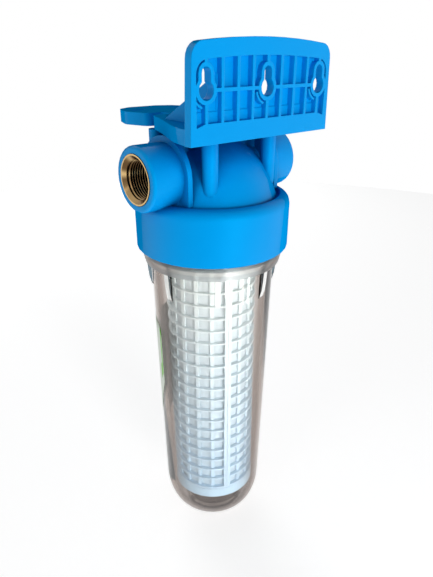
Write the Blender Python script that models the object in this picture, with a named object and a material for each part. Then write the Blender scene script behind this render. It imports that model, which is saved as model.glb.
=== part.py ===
"""Upright water filter housing: blue head and wall bracket, clear bowl, white mesh cartridge.

Metres, +Z up. The origin is the centre of the foot's flat underside, the bowl's axis is Z,
the wall plate faces -Y and the two ports lie along X.
"""
import math

import bmesh
import bpy
from mathutils import Matrix, Vector

for item in list(bpy.data.objects):
    bpy.data.objects.remove(item, do_unlink=True)

# Clearance between neighbouring pieces
GAP = 0.0003

# Facets round one full turn
HEAD_STEPS = 36
BOWL_STEPS = 36
PORT_STEPS = 32
CARTRIDGE_STEPS = 32
SMALL_STEPS = 20

# Heights below are measured from the underside of the head's skirt, which is this high
SKIRT_Z = 0.2439

# Head: skirt, valley round its shoulder, and dome
SKIRT_R = 0.0535
SKIRT_EDGE = 0.0008
SKIRT_STRAIGHT_H = 0.0305
SKIRT_FILLET = 0.0065
VALLEY_R = 0.0453
VALLEY_FLOOR_H = 0.0350
VALLEY_DOME_H = 0.0385
DOME_R = 0.04435
DOME_MIDDLE_H = 0.0265
DOME_RISE = 0.0474
DOME_WALL = 0.0053
BORE_R = 0.0483
BORE_H = 0.0212
SEAL_BORE_R = 0.0455
SEAL_BORE_H = 0.029

# Head: ports, arch plates, webs, pillars and the inner outlet tube
PORT_H = 0.0529
PORT_FACE_X = 0.0613
PORT_BOSS_R = 0.0204
PORT_EDGE_R = 0.002
PORT_DUCT_R = 0.0105
PORT_HOLE_R = 0.0075
ARCH_FACE_X = 0.0397
ARCH_THICK = 0.0035
ARCH_R = 0.0242
ARCH_FOOT_CURVE = 0.0034
WEB_INNER_X = 0.0225
WEB_HALF = 0.0037
WEB_TOP_H = 0.0759
PILLAR_X = 0.0251
PILLAR_Y = 0.02735
PILLAR_R = 0.0051
PILLAR_END_H = 0.0405
PILLAR_TOP_H = 0.0772
PILOT_R = 0.0021
PILOT_DEPTH = 0.0175
TUBE_R = 0.016
TUBE_HOLE_R = 0.0105
TUBE_END_H = 0.0354
TUBE_TOP_H = 0.080
TUBE_HOLE_TOP_H = 0.0625
DUCT_INNER_X = 0.022
LINK_FROM_X = 0.009
LINK_TO_X = 0.045
INLET_BORE_END_X = 0.0195
OUTLET_BORE_END_X = 0.0043
WEB_FOOT_H = 0.045

# Coarse right-hand thread between head and bowl
PITCH = 0.006
THREAD_STEPS = 24
BOWL_THREAD_FIRST_H = 0.0042
BOWL_THREAD_TURNS = 2.3
HEAD_THREAD_FIRST_H = 0.0036
HEAD_THREAD_TURNS = 2.5
NECK_R = 0.0452
BOWL_CREST_R = 0.0476
BOWL_RIDGE_ROOT = 0.0034
BOWL_RIDGE_CREST = 0.0020
HEAD_CREST_R = 0.0460
HEAD_RIDGE_ROOT = 0.0026
HEAD_RIDGE_CREST = 0.0014

# Brass port linings
INSERT_R = 0.0156
INSERT_HOLE_R = 0.0124
INSERT_MOUTH_R = 0.0147
INSERT_CHAMFER = 0.0021
INSERT_LENGTH = 0.018
INSERT_PROUD = 0.0003

# Bracket: wall plate
WALL_FACE_Y = -0.0484
WALL_THICK = 0.0053
WALL_FOOT_HALF = 0.0564
WALL_SHOULDER_HALF = 0.0549
WALL_SHOULDER_H = 0.1195
WALL_CORNER_X = 0.0470
WALL_CORNER_H = 0.1280
WALL_TOP_H = 0.1305
RECESS_DEPTH = 0.0038
RECESS_TOP_H = 0.1214
RECESS_TOP_CURVE_R = 0.540
RECESS_CORNER_X = 0.0445
RECESS_CORNER_H = 0.1120
RECESS_HALF = 0.0521
RECESS_FOOT_H = 0.0885
RECESS_FOOT_END_H = 0.0867
RIB_PITCH = 0.01132
RIB_COUNT = 9
RIB_THICK = 0.0020
MID_RIB_H = 0.1049

# Bracket: keyholes and the raised walls round them
KEYHOLE_SPACING = 0.0453
KEYHOLE_R = 0.0050
KEYHOLE_SLOT_HALF = 0.0030
KEYHOLE_SLOT_H = 0.1132
KEYHOLE_WALL = 0.0022
ARC_RIB_INNER_R = 0.0083
ARC_RIB_OUTER_R = 0.0095

# Bracket: top plate
PLATE_FOOT_H = 0.0772 + GAP
PLATE_TOP_H = 0.0860
PLATE_SIDE_X = 0.0555
PLATE_SIDE_Y = -0.0465
SIDE_CURVE = ((0.0545, -0.0370), (0.0522, -0.0285), (0.0484, -0.0195), (0.0432, -0.0085), (0.0368, 0.0050))
LUG_TIP_X = 0.0284
LUG_TIP_Y = 0.0254
NECK_HALF = 0.0120
EAR_NEAR_Y = 0.0375
EAR_NEAR_X = 0.0245
EAR_TIP_X = 0.0303
EAR_TIP_Y = 0.0570
EAR_BACK_X = 0.0235
EAR_BACK_Y = 0.0745
FAR_CORNER_X = 0.0120
FAR_Y = 0.0810
GUSSET_X = 0.0344
GUSSET_THICK = 0.0028
GUSSET_TOE_Y = 0.0020
GUSSET_TOP_H = 0.1130
INNER_FILLET = 0.0080
LUG_SLOT_X = 0.0196
LUG_SLOT_Y = 0.0190
EAR_SLOT_X = 0.0170
EAR_SLOT_Y = 0.0600
MIDDLE_HOLE_Y = 0.0290
SCREW_HOLE_R = 0.0028

# Screws and washers
WASHER_R = 0.0060
WASHER_THICK = 0.0012
SCREW_HEAD_R = 0.0045
SCREW_HEAD_H = 0.0030
SCREW_SHANK_R = 0.0018
SCREW_LENGTH = 0.025

# Bowl
BOWL_TOP_R = 0.0445
BOWL_TAPER = 0.01886
BOWL_WALL = 0.0037
BOWL_CORNER_H = -0.2130
BOWL_CORNER_X = 0.0265
BOWL_CORNER_DROP = 0.0280
BOWL_UNDERSIDE_H = -0.2395
BOWL_FLOOR_H = -0.2360
FOOT_R = 0.026
FOOT_NOTCHES = 8
FOOT_NOTCH_WIDTH = 0.0040
FOOT_NOTCH_DEPTH = 0.0016
COLLAR_R = 0.0476
COLLAR_STEP_R = 0.0463
COLLAR_TOP_H = -0.0005
COLLAR_STEP_H = -0.0033
COLLAR_END_H = -0.0065
NECK_HOLE_R = 0.0400
NECK_TOP_R = 0.0446
NECK_STEP_H = 0.0205
NECK_RIM_H = 0.0275
SEAL_GROOVE_R = 0.0420
SEAL_GROOVE_FROM_H = 0.0226
SEAL_GROOVE_TO_H = 0.0258
SEAL_SECTION_R = 0.0013
LUG_COUNT = 8
LUG_PHASE = math.radians(8.7)
LUG_WIDTH = 0.0039
LUG_TOP_R = 0.0480
LUG_LOW_R = 0.0469
LUG_LOW_H = -0.020
LUG_END_H = -0.0330
SEAT_INNER_R = 0.0226
SEAT_OUTER_R = 0.0242
SEAT_TOP_H = -0.2209
SEAT_RIB_R = 0.0285
SEAT_RIB_THICK = 0.0018
SEAT_RIB_TOP_H = -0.2290

# Cartridge
CAGE_R = 0.0333
CAGE_INNER_R = 0.0308
CAGE_SEAM = math.radians(-111.0)
SEAM_RIB = math.radians(4.3)
SEAM_GAP = math.radians(0.3)
BAR = math.radians(4.6)
WINDOWS_PER_HALF = 9
FIN_PITCH = 0.010
FIN_THICK = 0.0022
FIRST_FIN_H = -0.0068
WINDOW_ROWS = 20
CAP_R = 0.0335
CAP_EDGE = 0.0010
BOTTOM_CAP_H = -0.2177
TOP_CAP_H = 0.0323
TOP_CAP_THICK = 0.0078
CAP_SKIN = 0.0035
CAP_SPIGOT = 0.0050
CAP_HOLE_R = 0.012
SLEEVE_R = 0.0299
SLEEVE_THICK = 0.0008
GASKET_THICK = 0.0025
TOP_GASKET_R = 0.0170
BOTTOM_GASKET_INNER_R = 0.0205
BOTTOM_GASKET_R = 0.0270


def material(name, colour, roughness, metallic=0.0, transmission=0.0):
    made = bpy.data.materials.new(name)
    made.use_nodes = True
    shader = made.node_tree.nodes["Principled BSDF"]
    shader.inputs["Base Color"].default_value = (*colour, 1.0)
    shader.inputs["Roughness"].default_value = roughness
    shader.inputs["Metallic"].default_value = metallic
    shader.inputs["Transmission Weight"].default_value = transmission
    return made


def new_object(name, mesh):
    item = bpy.data.objects.new(name, mesh)
    bpy.context.collection.objects.link(item)
    return item


def from_bmesh(name, shape):
    bmesh.ops.recalc_face_normals(shape, faces=shape.faces)
    mesh = bpy.data.meshes.new(name)
    shape.to_mesh(mesh)
    shape.free()
    return new_object(name, mesh)


def turned(name, profile, steps, axis="Z", phase=0.0):
    """Turn a closed profile of (radius, height) points about an axis; phase is in steps."""
    shape = bmesh.new()
    rings = []
    for radius, height in profile:
        if radius < 1e-7:
            rings.append([shape.verts.new((0.0, 0.0, height))] * steps)
            continue
        ring = []
        for step in range(steps):
            angle = 2.0 * math.pi * (step + phase) / steps
            ring.append(shape.verts.new((radius * math.cos(angle), radius * math.sin(angle), height)))
        rings.append(ring)
    for index, ring in enumerate(rings):
        following = rings[(index + 1) % len(rings)]
        for step in range(steps):
            after = (step + 1) % steps
            corners = [ring[step], ring[after], following[after], following[step]]
            unique = []
            for corner in corners:
                if corner not in unique:
                    unique.append(corner)
            if len(unique) >= 3:
                shape.faces.new(unique)
    if axis == "X":
        # The profile's height runs along +X
        shape.transform(Matrix.Rotation(math.pi / 2.0, 4, "Y"))
    return from_bmesh(name, shape)


def place(u, v, w, along):
    """Put an outline point (u, v) and its depth w into space, extruding along one axis."""
    if along == "Z":
        return (u, v, w)
    if along == "Y":
        return (u, w, v)
    return (w, u, v)


def prisms(name, outlines, start, end, along="Z"):
    """One mesh of straight prisms: every outline is extruded from start to end."""
    shape = bmesh.new()
    for outline in outlines:
        near = [shape.verts.new(place(u, v, start, along)) for u, v in outline]
        far = [shape.verts.new(place(u, v, end, along)) for u, v in outline]
        shape.faces.new(near)
        shape.faces.new(list(reversed(far)))
        for index in range(len(outline)):
            after = (index + 1) % len(outline)
            shape.faces.new([near[after], near[index], far[index], far[after]])
    return from_bmesh(name, shape)


def box(name, low, high):
    outline = [(low[0], low[1]), (high[0], low[1]), (high[0], high[1]), (low[0], high[1])]
    return prisms(name, [outline], low[2], high[2])


def combine(target, other, operation):
    """Apply one exact Boolean and drop the second shape."""
    modifier = target.modifiers.new("combine", "BOOLEAN")
    modifier.operation = operation
    modifier.solver = "EXACT"
    modifier.object = other
    bpy.context.view_layer.update()
    graph = bpy.context.evaluated_depsgraph_get()
    mesh = bpy.data.meshes.new_from_object(target.evaluated_get(graph))
    target.modifiers.clear()
    target.data = mesh
    bpy.data.objects.remove(other, do_unlink=True)
    return target


def add(target, other):
    return combine(target, other, "UNION")


def cut(target, other):
    return combine(target, other, "DIFFERENCE")


def arc(centre_u, centre_v, radius_u, radius_v, start, end, steps):
    """Points on an elliptical arc, both ends included, angles in degrees."""
    points = []
    for step in range(steps + 1):
        angle = math.radians(start + (end - start) * step / steps)
        points.append((centre_u + radius_u * math.cos(angle), centre_v + radius_v * math.sin(angle)))
    return points


def mirrored(half):
    """Close an outline given as its half with positive first coordinate."""
    return list(half) + [(-u, v) for u, v in reversed(half) if u > 1e-7]


def rounded(corners):
    """Round the corners of an open chain of (u, v, radius)."""
    points = []
    last = len(corners) - 1
    for index, (u, v, radius) in enumerate(corners):
        if radius == 0.0 or index in (0, last):
            points.append((u, v))
            continue
        here = Vector((u, v))
        before = (Vector(corners[index - 1][:2]) - here).normalized()
        after = (Vector(corners[index + 1][:2]) - here).normalized()
        half_angle = before.angle(after) / 2.0
        reach = radius / math.tan(half_angle)
        centre = here + (before + after).normalized() * radius / math.sin(half_angle)
        first = here + before * reach - centre
        second = here + after * reach - centre
        sweep = first.angle_signed(second)
        for step in range(5):
            turn = Matrix.Rotation(-sweep * step / 4.0, 2)
            points.append(tuple(centre + turn @ first))
    return points


def up(height):
    return SKIRT_Z + height


def raised(profile):
    return [(radius, up(height)) for radius, height in profile]


def helix_ridge(name, root_r, crest_r, root_width, crest_width, first_h, turns, start_angle):
    """A trapezoid ridge wound up the Z axis, fading in and out at its ends."""
    shape = bmesh.new()
    count = int(round(turns * THREAD_STEPS))
    sections = []
    for step in range(count + 1):
        angle = start_angle + 2.0 * math.pi * step / THREAD_STEPS
        height = up(first_h) + PITCH * step / THREAD_STEPS
        fade = min(1.0, 0.25 + min(step, count - step) / 4.0)
        crest = root_r + (crest_r - root_r) * fade
        section = []
        for radius, offset in ((root_r, -root_width / 2.0), (crest, -crest_width / 2.0),
                               (crest, crest_width / 2.0), (root_r, root_width / 2.0)):
            section.append(shape.verts.new((radius * math.cos(angle), radius * math.sin(angle), height + offset)))
        sections.append(section)
    for step in range(count):
        for corner in range(4):
            after = (corner + 1) % 4
            shape.faces.new([sections[step][corner], sections[step][after],
                             sections[step + 1][after], sections[step + 1][corner]])
    shape.faces.new(sections[0])
    shape.faces.new(list(reversed(sections[-1])))
    return from_bmesh(name, shape)


def dome_profile(from_h, wall, steps):
    """Dome points from a height up to the axis."""
    start = math.asin((from_h - DOME_MIDDLE_H) / (DOME_RISE - wall))
    points = []
    for step in range(steps + 1):
        angle = start + (math.pi / 2.0 - start) * step / steps
        radius = (DOME_R - wall) * math.cos(angle)
        points.append((max(0.0, radius) if step < steps else 0.0,
                       DOME_MIDDLE_H + (DOME_RISE - wall) * math.sin(angle)))
    return points


def port_bore(side, inner_x):
    """Cutter for one port: a plain hole, then the seat of the brass lining."""
    seat_x = PORT_FACE_X - INSERT_LENGTH - GAP
    bore = [(0.0, inner_x), (PORT_HOLE_R, inner_x), (PORT_HOLE_R, seat_x), (INSERT_R + GAP, seat_x),
            (INSERT_R + GAP, PORT_FACE_X + 0.001), (0.0, PORT_FACE_X + 0.001)]
    bore = turned("bore", [(r, side * x) for r, x in bore], 24, "X", 0.37)
    bore.data.transform(Matrix.Translation((0.0, 0.0, up(PORT_H))))
    return bore


def make_head():
    fillet_h = SKIRT_STRAIGHT_H
    fillet = arc(SKIRT_R - SKIRT_FILLET, fillet_h, SKIRT_FILLET, SKIRT_FILLET, 0.0, 90.0, 4)
    outside = [(0.0, 0.0), (SKIRT_R - SKIRT_EDGE, 0.0), (SKIRT_R, SKIRT_EDGE)]
    outside += fillet
    # Soft valley between the shoulder and the dome
    crest_h = fillet_h + SKIRT_FILLET
    outside += [(VALLEY_R + 0.0009, crest_h - 0.0005), (VALLEY_R, VALLEY_FLOOR_H + 0.0002),
                (VALLEY_R - 0.0008, VALLEY_FLOOR_H)]
    outside += dome_profile(VALLEY_DOME_H, 0.0, 6)
    head = turned("head", raised(outside), HEAD_STEPS)

    for side in (-1.0, 1.0):
        # Arch plate, its feet rounded off in the valley
        foot_h = VALLEY_FLOOR_H - 0.001
        foot = [(ARCH_R - ARCH_FOOT_CURVE, up(foot_h)), (ARCH_R - ARCH_FOOT_CURVE * 0.3, up(foot_h + 0.001)),
                (ARCH_R, up(foot_h + ARCH_FOOT_CURVE))]
        arch = foot + arc(0.0, up(PORT_H), ARCH_R, ARCH_R, 0.0, 180.0, 14)
        arch += [(-u, v) for u, v in reversed(foot)]
        ends = sorted((side * (ARCH_FACE_X - ARCH_THICK), side * ARCH_FACE_X))
        port = prisms("port", [arch], ends[0], ends[1], "X")
        # Boss with a rounded mouth edge
        boss = [(0.0, ARCH_FACE_X - 0.002), (PORT_BOSS_R, ARCH_FACE_X - 0.002)]
        boss += arc(PORT_BOSS_R - PORT_EDGE_R, PORT_FACE_X - PORT_EDGE_R, PORT_EDGE_R, PORT_EDGE_R, 0.0, 90.0, 3)
        boss += [(0.0, PORT_FACE_X)]
        boss = turned("boss", [(r, side * x) for r, x in boss], PORT_STEPS, "X", 0.22)
        boss.data.transform(Matrix.Translation((0.0, 0.0, up(PORT_H))))
        add(port, boss)
        # Short duct between the boss and the dome
        duct = turned("duct", [(0.0, side * DUCT_INNER_X), (PORT_DUCT_R, side * DUCT_INNER_X),
                               (PORT_DUCT_R, side * (ARCH_FACE_X - 0.001)), (0.0, side * (ARCH_FACE_X - 0.001))],
                      SMALL_STEPS, "X", 0.11)
        duct.data.transform(Matrix.Translation((0.0, 0.0, up(PORT_H))))
        add(port, duct)
        # Web from the dome to the arch plate
        ends = sorted((side * WEB_INNER_X, side * (ARCH_FACE_X - 0.0015)))
        add(port, box("web", (ends[0], -WEB_HALF, up(WEB_FOOT_H)), (ends[1], WEB_HALF, up(WEB_TOP_H))))
        add(head, port)

    # Four pillars with rounded lower ends
    for x in (-PILLAR_X, PILLAR_X):
        for y in (-PILLAR_Y, PILLAR_Y):
            pillar = arc(0.0, up(PILLAR_END_H + PILLAR_R), PILLAR_R, PILLAR_R, -90.0, 0.0, 3)
            pillar[0] = (0.0, up(PILLAR_END_H))
            pillar += [(PILLAR_R, up(PILLAR_TOP_H)), (0.0, up(PILLAR_TOP_H))]
            pillar = turned("pillar", pillar, 16, "Z", 0.2)
            pillar.data.transform(Matrix.Translation((x, y, 0.0)))
            add(head, pillar)

    # Thread bore, seal bore and the hollow dome
    hollow = [(0.0, -0.002), (BORE_R + 0.001, -0.002), (BORE_R + 0.001, 0.0), (BORE_R, 0.001), (BORE_R, BORE_H),
              (SEAL_BORE_R, BORE_H + 0.0012), (SEAL_BORE_R, SEAL_BORE_H)]
    hollow += dome_profile(SEAL_BORE_H, DOME_WALL, 4)
    hollow = turned("hollow", raised(hollow), HEAD_STEPS)
    # What stays inside the hollow: a tube down to the cartridge, joined to the outlet port on +X
    tube = [(0.0, TUBE_END_H), (TUBE_R, TUBE_END_H), (TUBE_R, TUBE_TOP_H), (0.0, TUBE_TOP_H)]
    core = turned("core", raised(tube), SMALL_STEPS, "Z", 0.15)
    link = [(0.0, LINK_FROM_X), (PORT_DUCT_R, LINK_FROM_X), (PORT_DUCT_R, LINK_TO_X), (0.0, LINK_TO_X)]
    link = turned("link", link, SMALL_STEPS, "X", 0.42)
    link.data.transform(Matrix.Translation((0.0, 0.0, up(PORT_H))))
    add(core, link)
    cut(hollow, core)
    # The inlet port opens into the hollow beside the tube
    add(hollow, port_bore(-1.0, INLET_BORE_END_X))
    cut(head, hollow)

    # Way up the tube and out of the outlet port, with a wider seat for the brass lining
    way = [(0.0, TUBE_END_H - 0.002), (TUBE_HOLE_R, TUBE_END_H - 0.002),
           (TUBE_HOLE_R, TUBE_HOLE_TOP_H), (0.0, TUBE_HOLE_TOP_H)]
    way = turned("way", raised(way), SMALL_STEPS, "Z", 0.31)
    add(way, port_bore(1.0, OUTLET_BORE_END_X))
    cut(head, way)

    # Pilot holes in the pillars
    for x in (-PILLAR_X, PILLAR_X):
        for y in (-PILLAR_Y, PILLAR_Y):
            pilot = [(0.0, PILLAR_TOP_H - PILOT_DEPTH), (PILOT_R, PILLAR_TOP_H - PILOT_DEPTH),
                     (PILOT_R, PILLAR_TOP_H + 0.001), (0.0, PILLAR_TOP_H + 0.001)]
            pilot = turned("pilot", raised(pilot), 12, "Z", 0.3)
            pilot.data.transform(Matrix.Translation((x, y, 0.0)))
            cut(head, pilot)

    # Thread ridge inside the skirt, half a pitch above the bowl's ridge
    behind = (BOWL_THREAD_FIRST_H + PITCH / 2.0 - HEAD_THREAD_FIRST_H) / PITCH
    add(head, helix_ridge("ridge", BORE_R + 0.0006, HEAD_CREST_R, HEAD_RIDGE_ROOT, HEAD_RIDGE_CREST,
                          HEAD_THREAD_FIRST_H, HEAD_THREAD_TURNS, -2.0 * math.pi * behind))
    return head


def make_insert(name, side):
    face = PORT_FACE_X + INSERT_PROUD
    ring = [(INSERT_HOLE_R, PORT_FACE_X - INSERT_LENGTH), (INSERT_R, PORT_FACE_X - INSERT_LENGTH),
            (INSERT_R, face), (INSERT_MOUTH_R, face), (INSERT_HOLE_R, face - INSERT_CHAMFER)]
    insert = turned(name, [(r, side * x) for r, x in ring], 32, "X")
    insert.location = (0.0, 0.0, up(PORT_H))
    return insert


def keyhole_outline(x, radius, slot_half, slot_h):
    """Round hole with a narrower slot rising from it."""
    join = math.degrees(math.acos(slot_half / radius))
    outline = arc(x, up(slot_h), slot_half, slot_half, 0.0, 180.0, 6)
    outline += arc(x, up(MID_RIB_H), radius, radius, 180.0 - join, 360.0 + join, 12)
    return outline


def recess_top(x):
    reach = abs(x)
    corner_rise = RECESS_TOP_H - RECESS_CORNER_X ** 2 / (2.0 * RECESS_TOP_CURVE_R) - RECESS_CORNER_H
    if reach <= RECESS_CORNER_X:
        return RECESS_TOP_H - x * x / (2.0 * RECESS_TOP_CURVE_R)
    part = min(1.0, (reach - RECESS_CORNER_X) / (RECESS_HALF - RECESS_CORNER_X))
    return RECESS_CORNER_H + corner_rise * math.sqrt(1.0 - part * part)


def recess_cells():
    """Outlines of the pockets between the ribs of the wall plate."""
    cells = []
    rib = RIB_THICK / 2.0
    ribs = [RIB_PITCH * (index - (RIB_COUNT - 1) / 2.0) for index in range(RIB_COUNT)]
    columns = [(ribs[index] + rib, ribs[index + 1] - rib) for index in range(RIB_COUNT - 1)]
    for left, right in columns:
        middle = (left + right) / 2.0
        cells.append([(left, up(MID_RIB_H + rib)), (right, up(MID_RIB_H + rib)), (right, up(recess_top(right))),
                      (middle, up(recess_top(middle))), (left, up(recess_top(left)))])
        cells.append([(left, up(RECESS_FOOT_H)), (right, up(RECESS_FOOT_H)),
                      (right, up(MID_RIB_H - rib)), (left, up(MID_RIB_H - rib))])
    inner = ribs[-1] + rib
    for side in (-1.0, 1.0):
        upper = [(inner, MID_RIB_H + rib), (RECESS_HALF, MID_RIB_H + rib), (RECESS_HALF, recess_top(RECESS_HALF))]
        for part in (0.97, 0.88, 0.72, 0.5):
            x = RECESS_CORNER_X + (RECESS_HALF - RECESS_CORNER_X) * part
            upper.append((x, recess_top(x)))
        upper.append((inner, recess_top(inner)))
        lower = [(inner, RECESS_FOOT_H), (RECESS_HALF, RECESS_FOOT_END_H),
                 (RECESS_HALF, MID_RIB_H - rib), (inner, MID_RIB_H - rib)]
        cells.append([(side * x, up(h)) for x, h in upper])
        cells.append([(side * x, up(h)) for x, h in lower])
    return cells


def make_bracket():
    # Wall plate with a shallow crown
    crown_drop = WALL_TOP_H - WALL_CORNER_H
    half = [(WALL_FOOT_HALF, up(PLATE_FOOT_H))]
    half += arc(WALL_CORNER_X, up(WALL_SHOULDER_H), WALL_SHOULDER_HALF - WALL_CORNER_X,
                WALL_CORNER_H - WALL_SHOULDER_H, 0.0, 90.0, 5)
    for part in (0.75, 0.5, 0.25, 0.0):
        half.append((WALL_CORNER_X * part, up(WALL_TOP_H - crown_drop * part * part)))
    bracket = prisms("bracket", [mirrored(half)], WALL_FACE_Y, WALL_FACE_Y + WALL_THICK, "Y")

    # Pockets between the ribs, leaving the walls round the keyholes
    cells = prisms("cells", recess_cells(), WALL_FACE_Y - 0.001, WALL_FACE_Y + RECESS_DEPTH, "Y")
    walls = []
    holes = []
    for x in (-KEYHOLE_SPACING, 0.0, KEYHOLE_SPACING):
        walls.append(keyhole_outline(x, KEYHOLE_R + KEYHOLE_WALL, KEYHOLE_SLOT_HALF + KEYHOLE_WALL, KEYHOLE_SLOT_H))
        holes.append(keyhole_outline(x, KEYHOLE_R, KEYHOLE_SLOT_HALF, KEYHOLE_SLOT_H))
    cut(cells, prisms("walls", walls, WALL_FACE_Y - 0.002, WALL_FACE_Y + WALL_THICK, "Y"))
    arcs = []
    for x in (-KEYHOLE_SPACING, 0.0, KEYHOLE_SPACING):
        sector = arc(x, up(MID_RIB_H), ARC_RIB_OUTER_R, ARC_RIB_OUTER_R, 194.0, 250.0, 4)
        sector += arc(x, up(MID_RIB_H), ARC_RIB_INNER_R, ARC_RIB_INNER_R, 250.0, 194.0, 4)
        arcs.append(sector)
    cut(cells, prisms("arcs", arcs, WALL_FACE_Y - 0.002, WALL_FACE_Y + WALL_THICK, "Y"))
    cut(bracket, cells)
    cut(bracket, prisms("keyholes", holes, WALL_FACE_Y - 0.002, WALL_FACE_Y + WALL_THICK + 0.002, "Y"))

    # Top plate: tapering sides, a lug on each side, a neck and two far ears
    corners = [(PLATE_SIDE_X, PLATE_SIDE_Y, 0.0)]
    corners += [(x, y, 0.0) for x, y in SIDE_CURVE]
    corners += [(LUG_TIP_X, LUG_TIP_Y, 0.0030), (NECK_HALF, LUG_TIP_Y + 0.0020, 0.0035),
                (NECK_HALF, EAR_NEAR_Y, 0.0035), (EAR_NEAR_X, EAR_NEAR_Y, 0.0050),
                (EAR_TIP_X, EAR_TIP_Y, 0.0100), (EAR_BACK_X, EAR_BACK_Y, 0.0060),
                (FAR_CORNER_X, FAR_Y, 0.0040), (0.0, FAR_Y, 0.0)]
    half = rounded(corners)
    outline = mirrored(half)
    plate = prisms("plate", [outline], up(PLATE_FOOT_H), up(PLATE_TOP_H))
    add(bracket, plate)

    # Inner fillet and gussets
    back_y = WALL_FACE_Y + WALL_THICK
    fillet = [(back_y - 0.002, up(PLATE_TOP_H - 0.002)), (back_y + INNER_FILLET, up(PLATE_TOP_H - 0.002))]
    fillet += arc(back_y + INNER_FILLET, up(PLATE_TOP_H + INNER_FILLET), INNER_FILLET, INNER_FILLET,
                  270.0, 180.0, 4)
    fillet += [(back_y - 0.002, up(PLATE_TOP_H + INNER_FILLET))]
    add(bracket, prisms("fillet", [fillet], -0.0505, 0.0505, "X"))
    gusset = [(back_y - 0.002, up(PLATE_TOP_H - 0.002)), (GUSSET_TOE_Y, up(PLATE_TOP_H - 0.002)),
              (GUSSET_TOE_Y, up(PLATE_TOP_H + 0.0004)), (back_y - 0.002, up(GUSSET_TOP_H))]
    for side in (-1.0, 1.0):
        ends = sorted((side * (GUSSET_X - GUSSET_THICK / 2.0), side * (GUSSET_X + GUSSET_THICK / 2.0)))
        add(bracket, prisms("gusset", [gusset], ends[0], ends[1], "X"))

    # Slots in the lugs and ears, the middle hole and the two screw holes
    openings = []
    for side in (-1.0, 1.0):
        openings.append(slot_outline(side * LUG_SLOT_X, LUG_SLOT_Y, 0.0034, 0.0022))
        openings.append(slot_outline(side * EAR_SLOT_X, EAR_SLOT_Y, 0.0060, 0.0032))
        openings.append(slot_outline(side * PILLAR_X, -PILLAR_Y, SCREW_HOLE_R, SCREW_HOLE_R))
    openings.append(slot_outline(0.0, MIDDLE_HOLE_Y, 0.0080, 0.0045))
    cut(bracket, prisms("slots", openings, up(PLATE_FOOT_H - 0.002), up(PLATE_TOP_H + 0.004)))
    return bracket


def slot_outline(x, y, half_length, half_width):
    """A slot along X with round ends; a circle where both halves are equal."""
    reach = half_length - half_width
    outline = arc(x + reach, y, half_width, half_width, -90.0, 90.0, 6)
    outline += arc(x - reach, y, half_width, half_width, 90.0, 270.0, 6)
    if reach < 1e-7:
        outline = arc(x, y, half_width, half_width, 0.0, 337.5, 15)
    return outline


def make_screw(name, side):
    seat = PLATE_TOP_H + GAP + WASHER_THICK + GAP
    top = seat + SCREW_HEAD_H
    tip = seat - SCREW_LENGTH
    profile = [(0.0, tip), (SCREW_SHANK_R * 0.55, tip + 0.0006), (SCREW_SHANK_R, tip + 0.003),
               (SCREW_SHANK_R, seat), (SCREW_HEAD_R, seat), (SCREW_HEAD_R, top - 0.0014),
               (SCREW_HEAD_R * 0.72, top - 0.0002), (0.0, top)]
    screw = turned(name, [(r, h - seat) for r, h in profile], 16)
    for turn in (0.0, math.pi / 2.0):
        arm = box("arm", (-0.0022, -0.00045, SCREW_HEAD_H - 0.0013), (0.0022, 0.00045, SCREW_HEAD_H + 0.001))
        arm.data.transform(Matrix.Rotation(turn + math.radians(20.0), 4, "Z"))
        cut(screw, arm)
    screw.location = (side * PILLAR_X, -PILLAR_Y, up(seat))
    return screw


def make_washer(name, side):
    inner = SCREW_SHANK_R + GAP + 0.0002
    profile = [(inner, 0.0), (WASHER_R, 0.0), (WASHER_R, WASHER_THICK), (inner, WASHER_THICK)]
    washer = turned(name, profile, SMALL_STEPS)
    washer.location = (side * PILLAR_X, -PILLAR_Y, up(PLATE_TOP_H + GAP))
    return washer


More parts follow.
